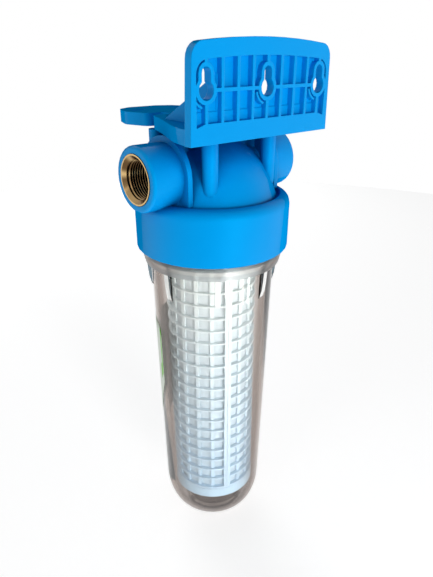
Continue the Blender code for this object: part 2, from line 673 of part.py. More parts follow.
def make_bowl():
    # Outside from the foot up to the rim
    corner_r = BOWL_TOP_R + BOWL_TAPER * BOWL_CORNER_H
    outer_a = corner_r - BOWL_CORNER_X
    foot_h = -SKIRT_Z
    low = math.degrees(math.asin((BOWL_CORNER_H - BOWL_UNDERSIDE_H) / BOWL_CORNER_DROP))
    outside = [(0.0, foot_h), (FOOT_R - 0.0006, foot_h), (FOOT_R, foot_h + 0.0006), (FOOT_R, BOWL_UNDERSIDE_H)]
    outside += arc(BOWL_CORNER_X, BOWL_CORNER_H, outer_a, BOWL_CORNER_DROP, -low, 0.0, 6)
    outside += [(BOWL_TOP_R + BOWL_TAPER * COLLAR_END_H, COLLAR_END_H), (COLLAR_STEP_R, COLLAR_END_H + 0.0006),
                (COLLAR_STEP_R, COLLAR_STEP_H), (COLLAR_R, COLLAR_STEP_H + 0.0004), (COLLAR_R, COLLAR_TOP_H),
                (NECK_R, COLLAR_TOP_H), (NECK_R, NECK_STEP_H), (NECK_TOP_R, NECK_STEP_H + 0.0006),
                (NECK_TOP_R, SEAL_GROOVE_FROM_H), (SEAL_GROOVE_R, SEAL_GROOVE_FROM_H),
                (SEAL_GROOVE_R, SEAL_GROOVE_TO_H), (NECK_TOP_R, SEAL_GROOVE_TO_H), (NECK_TOP_R, NECK_RIM_H)]
    # Inside from the rim down to the floor
    inner_a = outer_a - BOWL_WALL
    inner_drop = BOWL_CORNER_DROP - BOWL_WALL
    deep = math.degrees(math.asin((BOWL_CORNER_H - BOWL_FLOOR_H) / inner_drop))
    inside = [(NECK_HOLE_R, NECK_RIM_H), (NECK_HOLE_R, COLLAR_END_H)]
    inside += [(BOWL_TOP_R - BOWL_WALL + BOWL_TAPER * (COLLAR_END_H - 0.006), COLLAR_END_H - 0.006)]
    inside += arc(BOWL_CORNER_X, BOWL_CORNER_H, inner_a, inner_drop, 0.0, -deep, 5)
    inside += [(SEAT_OUTER_R, BOWL_FLOOR_H), (SEAT_OUTER_R, SEAT_TOP_H), (SEAT_INNER_R, SEAT_TOP_H),
               (SEAT_INNER_R, BOWL_FLOOR_H), (0.0, BOWL_FLOOR_H)]
    bowl = turned("bowl", raised(outside + inside), BOWL_STEPS)

    # Thread ridge on the neck
    add(bowl, helix_ridge("ridge", NECK_R - 0.0006, BOWL_CREST_R, BOWL_RIDGE_ROOT, BOWL_RIDGE_CREST,
                          BOWL_THREAD_FIRST_H, BOWL_THREAD_TURNS, 0.0))

    # Eight lugs under the collar for a strap wrench
    bury = BOWL_TOP_R - 0.0018
    lug = [(bury, COLLAR_STEP_H + 0.001), (LUG_TOP_R, COLLAR_STEP_H + 0.001), (LUG_TOP_R, COLLAR_END_H),
           (LUG_LOW_R, LUG_LOW_H), (LUG_LOW_R - 0.0007, LUG_LOW_H - 0.0055),
           (LUG_LOW_R - 0.0021, LUG_END_H + 0.0025), (bury - 0.0002, LUG_END_H - 0.0010)]
    lug = [(radius, up(height)) for radius, height in lug]
    for index in range(LUG_COUNT):
        piece = prisms("lug", [lug], -LUG_WIDTH / 2.0, LUG_WIDTH / 2.0, "Y")
        # The outline's first coordinate is the radius, so the prism starts along +X
        piece.data.transform(Matrix.Rotation(LUG_PHASE + 2.0 * math.pi * index / LUG_COUNT, 4, "Z"))
        add(bowl, piece)

    # Four ribs that stiffen the seat ring, in line with lugs
    for index in range(4):
        rib = box("rib", (SEAT_OUTER_R - 0.0008, -SEAT_RIB_THICK / 2.0, up(BOWL_FLOOR_H - 0.001)),
                  (SEAT_RIB_R, SEAT_RIB_THICK / 2.0, up(SEAT_RIB_TOP_H)))
        rib.data.transform(Matrix.Rotation(LUG_PHASE + math.pi / 2.0 * index, 4, "Z"))
        add(bowl, rib)

    # Notches round the foot's rim
    for index in range(FOOT_NOTCHES):
        notch = box("notch", (FOOT_R - FOOT_NOTCH_DEPTH, -FOOT_NOTCH_WIDTH / 2.0, -0.001),
                    (FOOT_R + 0.002, FOOT_NOTCH_WIDTH / 2.0, 0.0022))
        notch.data.transform(Matrix.Rotation(2.0 * math.pi * (index + 0.5) / FOOT_NOTCHES, 4, "Z"))
        cut(bowl, notch)
    return bowl


def make_bowl_seal():
    middle_r = SEAL_GROOVE_R + GAP + SEAL_SECTION_R
    middle_h = (SEAL_GROOVE_FROM_H + SEAL_GROOVE_TO_H) / 2.0
    section = arc(middle_r, middle_h, SEAL_SECTION_R, SEAL_SECTION_R, 0.0, 300.0, 5)
    return turned("bowl_seal", raised(section), BOWL_STEPS)


def make_cage_half(name, turn):
    """Half of the cage: fins and bars round windows that widen inward, on a plain top band."""
    fins = [FIRST_FIN_H - FIN_PITCH * row for row in range(WINDOW_ROWS + 1)]
    top = TOP_CAP_H - TOP_CAP_THICK - GAP
    bottom = fins[-1] - FIN_THICK / 2.0
    window = (math.pi - 2.0 * SEAM_RIB - (WINDOWS_PER_HALF - 1) * BAR) / WINDOWS_PER_HALF
    first = SEAM_GAP / 2.0
    last = math.pi - SEAM_GAP / 2.0
    outer_angles = [first]
    inner_angles = [first, SEAM_RIB * 0.6]
    for index in range(WINDOWS_PER_HALF):
        start = SEAM_RIB + index * (window + BAR)
        outer_angles += [start, start + window]
        inner_angles.append(start + window + BAR / 2.0)
    inner_angles[-1] = math.pi - SEAM_RIB * 0.6
    outer_angles.append(last)
    inner_angles.append(last)
    outer_heights = [top]
    for row in range(WINDOW_ROWS):
        outer_heights += [fins[row] - FIN_THICK / 2.0, fins[row + 1] + FIN_THICK / 2.0]
    outer_heights.append(bottom)
    inner_heights = [top] + fins + [bottom]
    inner_heights[-2] = fins[-1] + FIN_THICK * 0.2

    shape = bmesh.new()

    def grid(radius, heights, angles):
        rows = []
        for height in heights:
            rows.append([shape.verts.new((radius * math.cos(angle), radius * math.sin(angle), up(height)))
                         for angle in angles])
        return rows

    outer = grid(CAGE_R, outer_heights, outer_angles)
    inner = grid(CAGE_INNER_R, inner_heights, inner_angles)
    for row in range(len(outer_heights) - 1):
        for column in range(len(outer_angles) - 1):
            if row % 2 == 1 and column % 2 == 1:
                continue
            shape.faces.new([outer[row][column], outer[row][column + 1],
                             outer[row + 1][column + 1], outer[row + 1][column]])
    for row in range(len(inner_heights) - 1):
        for column in range(len(inner_angles) - 1):
            if 0 < row < len(inner_heights) - 2 and 0 < column < len(inner_angles) - 2:
                continue
            shape.faces.new([inner[row][column], inner[row + 1][column],
                             inner[row + 1][column + 1], inner[row][column + 1]])
    # The four sloping sides of each window
    for row in range(WINDOW_ROWS):
        for column in range(WINDOWS_PER_HALF):
            r = 2 * row + 1
            c = 2 * column + 1
            out = [outer[r][c], outer[r][c + 1], outer[r + 1][c + 1], outer[r + 1][c]]
            far = [inner[row + 1][column + 1], inner[row + 1][column + 2],
                   inner[row + 2][column + 2], inner[row + 2][column + 1]]
            for side in range(4):
                after = (side + 1) % 4
                shape.faces.new([out[after], out[side], far[side], far[after]])
    # Flat rims at the top, the bottom and the two parting faces
    shape.faces.new(outer[0] + list(reversed(inner[0])))
    shape.faces.new(outer[-1] + list(reversed(inner[-1])))
    shape.faces.new([row[0] for row in outer] + [row[0] for row in reversed(inner)])
    shape.faces.new([row[-1] for row in outer] + [row[-1] for row in reversed(inner)])
    half = from_bmesh(name, shape)
    half.rotation_euler = (0.0, 0.0, turn)
    return half


def make_mesh_sleeve():
    top = TOP_CAP_H - TOP_CAP_THICK - GAP
    bottom = FIRST_FIN_H - FIN_PITCH * WINDOW_ROWS - FIN_THICK / 2.0
    inner = SLEEVE_R - SLEEVE_THICK
    profile = [(inner, bottom), (SLEEVE_R, bottom), (SLEEVE_R, top), (inner, top)]
    return turned("mesh_sleeve", raised(profile), CARTRIDGE_STEPS)


def make_bottom_cap():
    rim = FIRST_FIN_H - FIN_PITCH * WINDOW_ROWS - FIN_THICK / 2.0 - GAP
    spigot = SLEEVE_R - SLEEVE_THICK - GAP
    profile = [(0.0, BOTTOM_CAP_H), (CAP_R - CAP_EDGE, BOTTOM_CAP_H), (CAP_R, BOTTOM_CAP_H + CAP_EDGE),
               (CAP_R, rim), (spigot, rim), (spigot, rim + CAP_SPIGOT), (spigot - 0.002, rim + CAP_SPIGOT),
               (spigot - 0.002, BOTTOM_CAP_H + CAP_SKIN), (0.0, BOTTOM_CAP_H + CAP_SKIN)]
    return turned("bottom_cap", raised(profile), CARTRIDGE_STEPS)


def make_top_cap():
    rim = TOP_CAP_H - TOP_CAP_THICK
    spigot = SLEEVE_R - SLEEVE_THICK - GAP
    profile = [(CAP_HOLE_R, TOP_CAP_H), (CAP_HOLE_R, TOP_CAP_H - CAP_SKIN),
               (spigot - 0.002, TOP_CAP_H - CAP_SKIN), (spigot - 0.002, rim - CAP_SPIGOT),
               (spigot, rim - CAP_SPIGOT), (spigot, rim), (CAP_R, rim),
               (CAP_R, TOP_CAP_H - CAP_EDGE), (CAP_R - CAP_EDGE, TOP_CAP_H)]
    return turned("top_cap", raised(profile), CARTRIDGE_STEPS)


def make_gasket(name, inner_r, outer_r, low_h):
    profile = [(inner_r, low_h), (outer_r, low_h), (outer_r, low_h + GASKET_THICK), (inner_r, low_h + GASKET_THICK)]
    return turned(name, raised(profile), 28)


def finish(item, look, parent=None):
    """Give a piece its material, smooth its round faces and hang it on its parent."""
    item.data.materials.clear()
    item.data.materials.append(look)
    item.data.shade_smooth()
    item.data.set_sharp_from_angle(angle=math.radians(32.0))
    if parent is not None:
        item.parent = parent


blue = (0.005, 0.24, 0.62)
white = (0.86, 0.88, 0.87)

# The bowl and all that stands in it turn and drop on this axis
bowl_axis = bpy.data.objects.new("bowl_axis", None)
bpy.context.collection.objects.link(bowl_axis)

finish(make_head(), material("head_blue", blue, 0.38))
finish(make_bracket(), material("bracket_blue", blue, 0.42))
finish(make_insert("inlet_insert", -1.0), material("inlet_brass", (0.72, 0.52, 0.22), 0.28, 1.0))
finish(make_insert("outlet_insert", 1.0), material("outlet_brass", (0.72, 0.52, 0.22), 0.28, 1.0))
finish(make_screw("bracket_screw_left", -1.0), material("screw_left_steel", (0.62, 0.62, 0.6), 0.3, 1.0))
finish(make_screw("bracket_screw_right", 1.0), material("screw_right_steel", (0.62, 0.62, 0.6), 0.3, 1.0))
finish(make_washer("bracket_washer_left", -1.0), material("washer_left_steel", (0.66, 0.66, 0.65), 0.35, 1.0))
finish(make_washer("bracket_washer_right", 1.0), material("washer_right_steel", (0.66, 0.66, 0.65), 0.35, 1.0))
finish(make_bowl(), material("bowl_clear", (0.93, 0.96, 0.97), 0.06, 0.0, 1.0), bowl_axis)
finish(make_bowl_seal(), material("seal_rubber", (0.02, 0.02, 0.02), 0.6), bowl_axis)
finish(make_cage_half("cage_front", CAGE_SEAM), material("cage_front_white", white, 0.45), bowl_axis)
finish(make_cage_half("cage_back", CAGE_SEAM + math.pi), material("cage_back_white", white, 0.45), bowl_axis)
finish(make_mesh_sleeve(), material("mesh_white", (0.78, 0.82, 0.8), 0.75), bowl_axis)
finish(make_bottom_cap(), material("bottom_cap_white", white, 0.45), bowl_axis)
finish(make_top_cap(), material("top_cap_white", white, 0.45), bowl_axis)
finish(make_gasket("bottom_gasket", BOTTOM_GASKET_INNER_R, BOTTOM_GASKET_R, BOTTOM_CAP_H - GAP - GASKET_THICK),
       material("bottom_gasket_rubber", (0.05, 0.05, 0.05), 0.7), bowl_axis)
finish(make_gasket("top_gasket", CAP_HOLE_R + GAP, TOP_GASKET_R, TOP_CAP_H + GAP),
       material("top_gasket_rubber", (0.05, 0.05, 0.05), 0.7), bowl_axis)
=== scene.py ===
"""Looks of the clear-bowl water filter housing: finishes, fine pieces, light and camera."""
import math

import bmesh
import bpy
from mathutils import Matrix, Vector


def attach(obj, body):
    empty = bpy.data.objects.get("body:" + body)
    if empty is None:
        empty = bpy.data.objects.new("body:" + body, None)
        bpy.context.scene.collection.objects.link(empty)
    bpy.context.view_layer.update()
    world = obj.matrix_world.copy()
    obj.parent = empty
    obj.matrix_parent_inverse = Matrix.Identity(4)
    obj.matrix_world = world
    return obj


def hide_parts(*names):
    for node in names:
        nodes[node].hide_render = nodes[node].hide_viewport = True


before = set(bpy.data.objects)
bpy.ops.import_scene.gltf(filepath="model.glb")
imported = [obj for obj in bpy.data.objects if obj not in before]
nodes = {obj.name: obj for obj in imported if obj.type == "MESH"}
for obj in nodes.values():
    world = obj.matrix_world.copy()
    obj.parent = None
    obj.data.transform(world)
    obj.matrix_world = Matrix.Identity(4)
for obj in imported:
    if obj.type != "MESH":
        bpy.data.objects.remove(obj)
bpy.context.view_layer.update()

# Heights are measured from the underside of the head's skirt, as in the model
SKIRT_Z = 0.2439

# Cartridge cage
CAGE_SEAM = math.radians(-111.0)
CAGE_R = 0.0333
CAGE_BACK_R = 0.0301
BAR_R = 0.0313
BAR_WIDTH = 0.0029
BARS_PER_HALF = 8
SEAM_RIB_WIDTH = 0.0024
SEAM_GAP = 0.00025
FIN_PITCH = 0.010
FIN_THICK = 0.0013
FIN_EDGE_DEPTH = 0.0004
FIN_EDGE_ROUND = 0.0001
FIN_EDGE_SHARE = 0.6
FIRST_FIN_H = -0.0068
FIN_COUNT = 21
CAGE_TOP_H = 0.0242
CAGE_FOOT_H = -0.2079
FOOT_RING_LAP = 0.0004
HALF_STEPS = 60
BAR_STEPS = 3

# Thread of the brass linings: half widths are shares of the pitch
PORT_H = 0.0529
THREAD_PITCH = 0.001814
THREAD_ROOT_R = 0.01245
THREAD_CREST_R = 0.01165
THREAD_BURY = 0.0003
THREAD_ROOT_HALF = 0.48
THREAD_CREST_HALF = 0.1
THREAD_FROM_X = 0.0445
THREAD_TO_X = 0.0590
THREAD_STEPS = 64
THREAD_FADE_STEPS = 20.0

# Bowl's outer wall: radius at the skirt, its taper, its collar and its lower corner
BOWL_TOP_R = 0.0445
BOWL_TAPER = 0.01886
COLLAR_END_H = -0.0065
BOWL_CORNER_H = -0.2130
BOWL_THICK_H = BOWL_CORNER_H - 0.018

# Conical flange round the bowl's collar and the tops of its lugs; points are (radius, height)
FLANGE_TOP_H = -0.0008
FLANGE_LOW_H = -0.0108
FLANGE_INNER_R = 0.0481
FLANGE_STEPS = 96
FLANGE_OUTLINE = (
    (0.0501, FLANGE_TOP_H),
    (0.0499, -0.0048),
    (0.0485, FLANGE_LOW_H + 0.0003),
    (0.0483, FLANGE_LOW_H),
    (FLANGE_INNER_R, FLANGE_LOW_H),
    (FLANGE_INNER_R, FLANGE_TOP_H),
)

# Masks on the clear plastic. What stands this far out from the wall is collar, flange or lug
PROUD_FROM = 0.0002
PROUD_TO = 0.0005
FLANGE_FOOT_SOFT = 0.0006
# A painted shade line under the skirt fades out between these heights, and a fainter painted dark refraction
# line fades in below the collar
SKIRT_LINE_H = -0.0036
SKIRT_LINE_END_H = -0.0044
SKIRT_LINE_PART = 0.7
COLLAR_LINE_DROP = 0.0007
COLLAR_LINE_PART = 0.3
# How far the surface points away from the axis, where a lug's side (painted dark refraction) or face
# (painted white glint) begins and is full
LUG_SIDE = (0.8, 0.35)
LUG_FACE = (0.85, 0.95)
# How much of the bottom's tint and of the lugs' painted white glint shows, and how cloudy the collar is
BOTTOM_PART = 0.85
GLINT_PART = 0.65
COLLAR_CLOUD = 0.3
# The wall takes a painted dark reflection between these two turns away from the eye
DARK_REFLECTION_TURN = (0.43, 0.66)
SMOKE_DENSITY = 72.0
CLEAR_IOR = 1.49

# Label on the bowl: a plain field with a green line near its ends
LABEL_R_OFFSET = 0.00012
LABEL_THICK = 0.0001
LABEL_FROM = math.radians(78.0)
LABEL_TO = math.radians(168.0)
LABEL_LOW_H = -0.155
LABEL_HIGH_H = -0.058
LABEL_END_RISE = 0.046
LABEL_CORNER_DROP = 0.010
LABEL_COLUMNS = 48
LABEL_ROWS = 12
# Shares of the label's half width, from its middle to an end
LABEL_RISE_FROM = 0.3
LABEL_RISE_POWER = 1.5
LABEL_ROUND_FROM = 0.8
LABEL_ROUND_POWER = 3.0
GREEN_CORNER_FROM = 0.86
GREEN_LINE_FROM = 0.93
GREEN_LINE_TO = 0.985
GREEN_SOFT_ACROSS = 0.005
# Shares of the label's height
GREEN_LOW = 0.2
GREEN_CORNER_TOP = 0.44
GREEN_SOFT_UP = 0.02

# Colours, linear red, green and blue; pairs are the two ends of a finish's variation, or of a painted shade
# from foot to top
HEAD_BLUES = ((0.0, 0.262, 0.66), (0.0, 0.292, 0.73))
# Painted shade that darkens the head in its corners and valleys
HEAD_PAINTED_SHADE_BLUE = (0.0, 0.09, 0.3)
BRACKET_BLUES = ((0.0, 0.275, 0.69), (0.0, 0.3, 0.75))
BLUE_SHEEN = (0.0, 0.6, 1.0)
# Cage pair runs from foot to top: painted shade, darker and bluer at the foot
CAGE_SHADE_GRADED_WHITES = ((0.47, 0.66, 0.82), (0.81, 0.87, 0.83))
CAP_WHITES = ((0.44, 0.64, 0.8), (0.49, 0.68, 0.84))
# Mesh pairs run from foot to top: painted shade, darker and bluer at the foot
MESH_HOLES_SHADE_GRADED = ((0.4, 0.53, 0.62), (0.54, 0.6, 0.6))
MESH_THREADS_SHADE_GRADED = ((0.5, 0.66, 0.78), (0.74, 0.8, 0.8))
BOWL_FACING = (0.985, 0.99, 0.99)
BOWL_PAINTED_DARK_REFLECTION = (0.28, 0.2, 0.16)
BOWL_BOTTOM = (0.36, 0.33, 0.32)
BOWL_PAINTED_DARK_LINE = (0.2, 0.29, 0.35)
BOWL_PAINTED_GLINT = (0.93, 0.95, 0.94)
BOWL_SMOKE = (0.36, 0.22, 0.13)
BRASSES = ((0.62, 0.40, 0.16), (0.86, 0.64, 0.32))
# Painted dark reflection between the painted brass streaks
BRASS_PAINTED_DARK_REFLECTION = (0.1, 0.05, 0.02)
# Painted shade deep in a brass bore
BRASS_PAINTED_BORE_SHADE = (0.03, 0.014, 0.005)
STEELS = ((0.5, 0.5, 0.49), (0.68, 0.68, 0.66))
RUBBERS = ((0.018, 0.018, 0.019), (0.04, 0.04, 0.042))
LABEL_PAPER = (0.62, 0.69, 0.6)
LABEL_GREEN = (0.12, 0.5, 0.01)
FLOOR_GREY = (0.72, 0.72, 0.72)
ROOM_LOW = (0.55, 0.54, 0.53)
ROOM_HIGH = (0.12, 0.125, 0.13)
PURE_WHITE = (1.0, 1.0, 1.0)

# Moulded plastics lose their gloss between these two turns away from the eye
GLOSS_FADE = (0.3, 0.65)

# Painted reflection streaks in a brass bore: angle up from the side away from the wall, narrowness, strength
PAINTED_REFLECTIONS = ((0.12, 90.0, 1.0), (1.15, 50.0, 0.6), (-1.15, 4.0, 0.42), (-2.6, 40.0, 0.5), (2.3, 20.0, 0.3))
REFLECTION_PART = 0.9
REFLECTION_BASE = 0.06
# How far a face points along the port, where its painted highlight begins and is full
FLAT_FACE = (0.85, 0.95)

# Weave of the mesh: a higher narrowness gives thinner threads
MESH_PITCH = 0.0009
MESH_R = 0.0299
MESH_NARROWNESS = 6.0

# Solids are welded within this reach, so that they can be smoothed
WELD_REACH = 0.000005
# Edges sharper than these stay sharp, on the solids and on the fine pieces
SOLID_SHARP = math.radians(32.0)
PIECE_SHARP = math.radians(35.0)

# Floor and room
FLOOR_R = 1.25
FLOOR_STEPS = 96
FLOOR_DROP = 0.0004
FLOOR_GLOW = 0.64
ROOM_DIM_FROM = 0.8

# Lamps: name, place, width and height in metres, power in watts
LAMP_AIM = (0.0, 0.0, 0.2)
LAMPS = (
    ("key", (-0.3, -1.5, 0.32), (0.5, 0.6), 13.0),
    ("left", (-1.5, -0.1, 0.6), (0.6, 0.9), 2.0),
    ("back", (0.5, 1.4, 0.9), (1.0, 0.8), 8.0),
    # Small low strips: a soft band on the skirt and a thin glint on the bowl
    ("skirt_strip", (-0.089, -0.402, 0.085), (0.035, 0.12), 0.12),
    ("bowl_strip", (0.168, -0.349, 0.041), (0.033, 0.04), 0.06),
)

# Camera, solved from the photograph: angles in degrees, lens in millimetres
CAMERA_PLACE = (-0.2199, -0.2544, 0.3653)
CAMERA_AZIMUTH = -41.385
CAMERA_ELEVATION = 25.4
CAMERA_ROLL = 0.092
CAMERA_LENS = 30.72


def up(height):
    return SKIRT_Z + height


# Node helpers


def new_material(name):
    made = bpy.data.materials.new(name)
    made.use_nodes = True
    return made, made.node_tree, made.node_tree.nodes["Principled BSDF"]


def feed(tree, value, socket):
    """Feed an input from a socket, or hold it at a number or a colour."""
    if isinstance(value, bpy.types.NodeSocket):
        tree.links.new(value, socket)
    elif isinstance(value, tuple):
        socket.default_value = (*value, 1.0)
    else:
        socket.default_value = value


def join(tree, operation, first, second=0.0):
    """A Math node of two inputs, each a socket or a number."""
    node = tree.nodes.new("ShaderNodeMath")
    node.operation = operation
    feed(tree, first, node.inputs[0])
    feed(tree, second, node.inputs[1])
    return node.outputs["Value"]


def vector_join(tree, operation, first, second=None):
    """A Vector Math node of one or two vectors."""
    node = tree.nodes.new("ShaderNodeVectorMath")
    node.operation = operation
    tree.links.new(first, node.inputs[0])
    if second is not None:
        tree.links.new(second, node.inputs[1])
    return node.outputs["Vector" if operation == "NORMALIZE" else "Value"]


def blend(tree, part, first, second):
    """Two colours, each a socket or three numbers: the first where the part is 0, the second at 1."""
    node = tree.nodes.new("ShaderNodeMix")
    node.data_type = "RGBA"
    feed(tree, part, node.inputs["Factor"])
    feed(tree, first, node.inputs["A"])
    feed(tree, second, node.inputs["B"])
    return node.outputs["Result"]


def remap(tree, value, first, last, low=0.0, high=1.0):
    """Low at the first value, high at the last, and held there beyond both."""
    node = tree.nodes.new("ShaderNodeMapRange")
    for name, number in (("From Min", first), ("From Max", last), ("To Min", low), ("To Max", high)):
        node.inputs[name].default_value = number
    tree.links.new(value, node.inputs["Value"])
    return node.outputs["Result"]


def axes(tree, source="Object"):
    """The three parts of a kind of coordinates; the object's own are in metres."""
    coordinates = tree.nodes.new("ShaderNodeTexCoord")
    split = tree.nodes.new("ShaderNodeSeparateXYZ")
    tree.links.new(coordinates.outputs[source], split.inputs["Vector"])
    return split.outputs["X"], split.outputs["Y"], split.outputs["Z"]


def noise(tree, scale, detail, stretch=(1.0, 1.0, 1.0)):
    """Noise over the object's own coordinates, finer along an axis that is stretched."""
    coordinates = tree.nodes.new("ShaderNodeTexCoord")
    mapping = tree.nodes.new("ShaderNodeMapping")
    mapping.inputs["Scale"].default_value = stretch
    tree.links.new(coordinates.outputs["Object"], mapping.inputs["Vector"])
    node = tree.nodes.new("ShaderNodeTexNoise")
    node.inputs["Scale"].default_value = scale
    node.inputs["Detail"].default_value = detail
    tree.links.new(mapping.outputs["Vector"], node.inputs["Vector"])
    return node.outputs["Fac"]


def spread(tree, value, low, high):
    """Noise stays mostly between a quarter and three quarters; this spreads it over a range."""
    return remap(tree, value, 0.25, 0.75, low, high)


def facing(tree):
    """Zero where a surface faces the eye, one where it is seen edge on."""
    weight = tree.nodes.new("ShaderNodeLayerWeight")
    weight.inputs["Blend"].default_value = 0.5
    return weight.outputs["Facing"]


def surface_normal(tree):
    return tree.nodes.new("ShaderNodeNewGeometry").outputs["Normal"]


def rounded_normal(tree, radius):
    """A normal that makes edges look rounded to a radius."""
    node = tree.nodes.new("ShaderNodeBevel")
    node.samples = 6
    node.inputs["Radius"].default_value = radius
    return node.outputs["Normal"]


def bump(tree, height, strength, distance, normal=None):
    node = tree.nodes.new("ShaderNodeBump")
    node.inputs["Strength"].default_value = strength
    node.inputs["Distance"].default_value = distance
    tree.links.new(height, node.inputs["Height"])
    if normal is not None:
        tree.links.new(normal, node.inputs["Normal"])
    return node.outputs["Normal"]


def painted_hollow_shade(tree, colour, hollow_shade_colour, reach, closed, free):
    """Painted shade: a colour that darkens in corners and bores, as far as the reach looks."""
    shelter = tree.nodes.new("ShaderNodeAmbientOcclusion")
    shelter.samples = 8
    shelter.inputs["Distance"].default_value = reach
    return blend(tree, remap(tree, shelter.outputs["AO"], closed, free), hollow_shade_colour, colour)


# Materials


def moulded_plastic(name, colours, rough, grain, edge, sheen, gloss, hollow_shade_colour=None):
    """Satin moulded plastic: faint flow marks, fine grain, soft edges, gloss that fades edge on, and painted
    shade in corners when a shade colour is given.
    """
    made, tree, shader = new_material(name)
    feed(tree, sheen, shader.inputs["Specular Tint"])
    tree.links.new(remap(tree, facing(tree), *GLOSS_FADE, gloss, 0.0), shader.inputs["Specular IOR Level"])
    colour = blend(tree, noise(tree, scale=26.0, detail=4.0), *colours)
    if hollow_shade_colour is not None:
        # Painted shade in corners and valleys
        colour = painted_hollow_shade(tree, colour, hollow_shade_colour, reach=0.02, closed=0.3, free=0.9)
    tree.links.new(colour, shader.inputs["Base Color"])
    tree.links.new(spread(tree, noise(tree, scale=90.0, detail=5.0), *rough), shader.inputs["Roughness"])
    normal = rounded_normal(tree, edge)
    grains = noise(tree, scale=2200.0, detail=2.0)
    surface = bump(tree, grains, strength=grain, distance=0.00012, normal=normal)
    tree.links.new(surface, shader.inputs["Normal"])
    return made


def along_cage(tree):
    """Zero at the cage's foot, one at its top."""
    height = axes(tree)[2]
    return remap(tree, height, up(CAGE_FOOT_H), up(CAGE_TOP_H))


def shade_graded_plastic(name, colours, rough):
    """White plastic with painted shade that makes it darker and a little bluer towards its lower end."""
    made, tree, shader = new_material(name)
    tree.links.new(blend(tree, along_cage(tree), *colours), shader.inputs["Base Color"])
    tree.links.new(spread(tree, noise(tree, scale=90.0, detail=5.0), *rough), shader.inputs["Roughness"])
    grains = noise(tree, scale=2200.0, detail=2.0)
    tree.links.new(bump(tree, grains, strength=0.1, distance=0.0001), shader.inputs["Normal"])
    return made


def bowl_places(tree):
    """Masks on the bowl: its collar, the collar's edges, the lugs' sides and faces, and the round bottom."""
    x, y, z = axes(tree)
    flat = tree.nodes.new("ShaderNodeCombineXYZ")
    tree.links.new(x, flat.inputs["X"])
    tree.links.new(y, flat.inputs["Y"])
    radius = vector_join(tree, "LENGTH", flat.outputs["Vector"])
    outward = vector_join(tree, "NORMALIZE", flat.outputs["Vector"])
    turned = join(tree, "ABSOLUTE", vector_join(tree, "DOT_PRODUCT", surface_normal(tree), outward))
    height = join(tree, "SUBTRACT", z, SKIRT_Z)
    wall = join(tree, "ADD", join(tree, "MULTIPLY", height, BOWL_TAPER), BOWL_TOP_R)
    proud = remap(tree, join(tree, "SUBTRACT", radius, wall), PROUD_FROM, PROUD_TO)
    side = join(tree, "MULTIPLY", proud, remap(tree, turned, *LUG_SIDE))
    foot = FLANGE_LOW_H - FLANGE_FOOT_SOFT
    below = join(tree, "MULTIPLY", proud, remap(tree, height, FLANGE_LOW_H, foot))
    face = join(tree, "MULTIPLY", below, remap(tree, turned, *LUG_FACE))
    collar = join(tree, "MULTIPLY", proud, remap(tree, height, foot, FLANGE_LOW_H))
    upper = remap(tree, height, SKIRT_LINE_END_H, SKIRT_LINE_H)
    lower = remap(tree, height, COLLAR_END_H, COLLAR_END_H - COLLAR_LINE_DROP)
    upper_edge = join(tree, "MULTIPLY", upper, SKIRT_LINE_PART)
    lower_edge = join(tree, "MULTIPLY", lower, COLLAR_LINE_PART)
    edges = join(tree, "MULTIPLY", collar, join(tree, "MAXIMUM", upper_edge, lower_edge))
    bottom = remap(tree, height, BOWL_CORNER_H, BOWL_THICK_H)
    return collar, edges, side, face, bottom


def clear_plastic(name):
    """Clear where it faces the eye, with a painted dark reflection along the wall, painted dark lines and
    white glints on the lugs, a painted shade line under the skirt, and a cloudy collar.
    """
    made, tree, shader = new_material(name)
    collar, edges, sides, faces, bottom = bowl_places(tree)
    # Painted dark reflection along the wall where it is seen edge on
    tint = blend(tree, remap(tree, facing(tree), *DARK_REFLECTION_TURN), BOWL_FACING, BOWL_PAINTED_DARK_REFLECTION)
    thick = blend(tree, join(tree, "MULTIPLY", bottom, BOTTOM_PART), tint, BOWL_BOTTOM)
    # Painted dark lines: shade under the skirt, dark refraction on the lug sides and the collar's lower edge
    lined = blend(tree, join(tree, "MAXIMUM", sides, edges), thick, BOWL_PAINTED_DARK_LINE)
    # Painted white glint on the lugs' faces
    tree.links.new(blend(tree, faces, lined, BOWL_PAINTED_GLINT), shader.inputs["Base Color"])
    smoke = tree.nodes.new("ShaderNodeVolumeAbsorption")
    feed(tree, BOWL_SMOKE, smoke.inputs["Color"])
    smoke.inputs["Density"].default_value = SMOKE_DENSITY
    tree.links.new(smoke.outputs["Volume"], tree.nodes["Material Output"].inputs["Volume"])
    # The painted glint also makes the lugs' faces less clear
    clear = join(tree, "SUBTRACT", 1.0, join(tree, "MULTIPLY", faces, GLINT_PART))
    tree.links.new(clear, shader.inputs["Transmission Weight"])
    shader.inputs["IOR"].default_value = CLEAR_IOR
    polish = spread(tree, noise(tree, scale=60.0, detail=4.0), low=0.012, high=0.05)
    cloud = join(tree, "MULTIPLY", collar, COLLAR_CLOUD)
    tree.links.new(join(tree, "ADD", polish, cloud), shader.inputs["Roughness"])
    wave = noise(tree, scale=34.0, detail=2.0, stretch=(1.0, 1.0, 0.35))
    tree.links.new(bump(tree, wave, strength=0.04, distance=0.0004), shader.inputs["Normal"])
    return made


